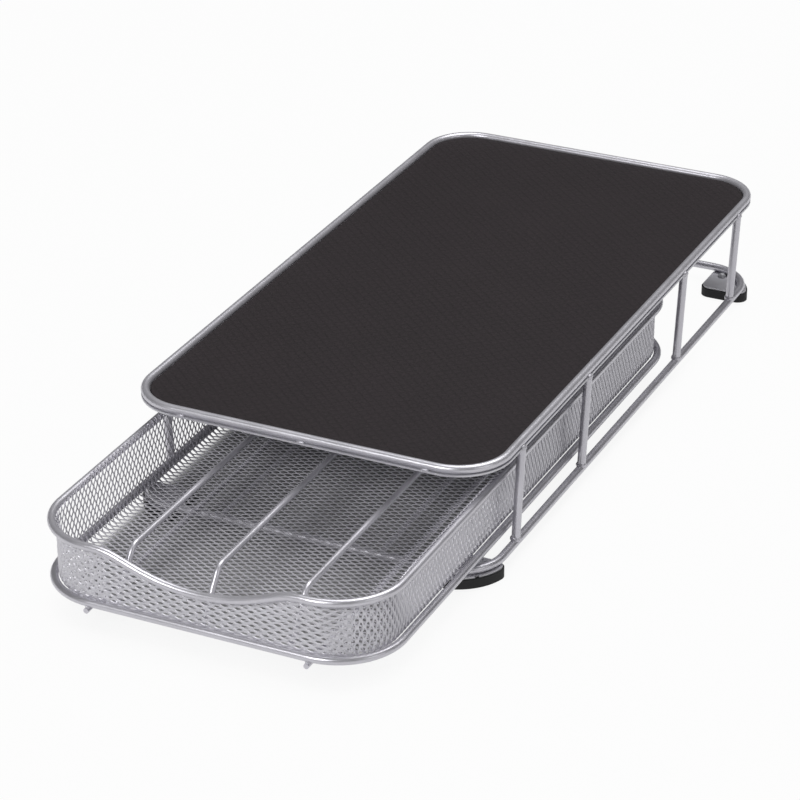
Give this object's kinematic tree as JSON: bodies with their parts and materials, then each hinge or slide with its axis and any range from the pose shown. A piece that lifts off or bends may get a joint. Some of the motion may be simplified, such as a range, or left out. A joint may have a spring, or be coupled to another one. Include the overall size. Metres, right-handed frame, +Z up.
{
  "type": "coffee capsule drawer",
  "caption": "Wire-framed platform with an anti-slip pad for a coffee machine, over a sliding drawer of expanded mesh that divider wires part into lanes for capsules.",
  "frame": {"origin": "on the worktop, under the middle of the whole object's box with the drawer 110 mm open, as in the picture", "axes": "+Y to the back along the drawer's travel, +X to the right seen from the front, +Z up"},
  "size_m": [0.207, 0.5149, 0.068],
  "materials": {
    "painted_wire": "satin silver-grey powder coat",
    "painted_plate": "satin silver-grey powder coat",
    "mesh": "satin silver-grey powder coat on expanded steel",
    "rivets": "satin silver-grey powder coat",
    "anti_slip_pad": "matt, finely embossed",
    "rubber_feet": "matt black"
  },
  "bodies": {
    "frame": {"rim_ring": "painted_wire", "top_plate": "painted_plate", "anti_slip_pad": "anti_slip_pad", "base_ring": "painted_wire", "post_left_1": "painted_wire", "post_left_2": "painted_wire", "post_left_3": "painted_wire", "post_left_4": "painted_wire", "post_right_1": "painted_wire", "post_right_2": "painted_wire", "post_right_3": "painted_wire", "post_right_4": "painted_wire", "cross_bar_1": "painted_wire", "cross_bar_2": "painted_wire", "cross_bar_3": "painted_wire", "cross_bar_4": "painted_wire", "back_post_left": "painted_wire", "back_post_right": "painted_wire", "guide_rail_left": "painted_wire", "guide_rail_right": "painted_wire", "foot_plate_front_left": "painted_plate", "foot_plate_front_right": "painted_plate", "foot_plate_back_left": "painted_plate", "foot_plate_back_right": "painted_plate", "foot_pad_front_left": "rubber_feet", "foot_pad_front_right": "rubber_feet", "foot_pad_back_left": "rubber_feet", "foot_pad_back_right": "rubber_feet", "foot_rivet_front_left": "rivets", "foot_rivet_front_right": "rivets", "foot_rivet_back_left": "rivets", "foot_rivet_back_right": "rivets"},
    "drawer": {"drawer_top_ring": "painted_wire", "drawer_bottom_ring": "painted_wire", "wall_mesh": "mesh", "floor_mesh": "mesh", "divider_left": "painted_wire", "divider_centre": "painted_wire", "divider_right": "painted_wire", "runner_left": "painted_wire", "runner_right": "painted_wire"}
  },
  "joints": [
    {"name": "drawer_slide", "type": "slide", "parent": "frame", "child": "drawer", "axis": [0, -1, 0], "range_m": [-0.11, 0.19]}
  ]
}
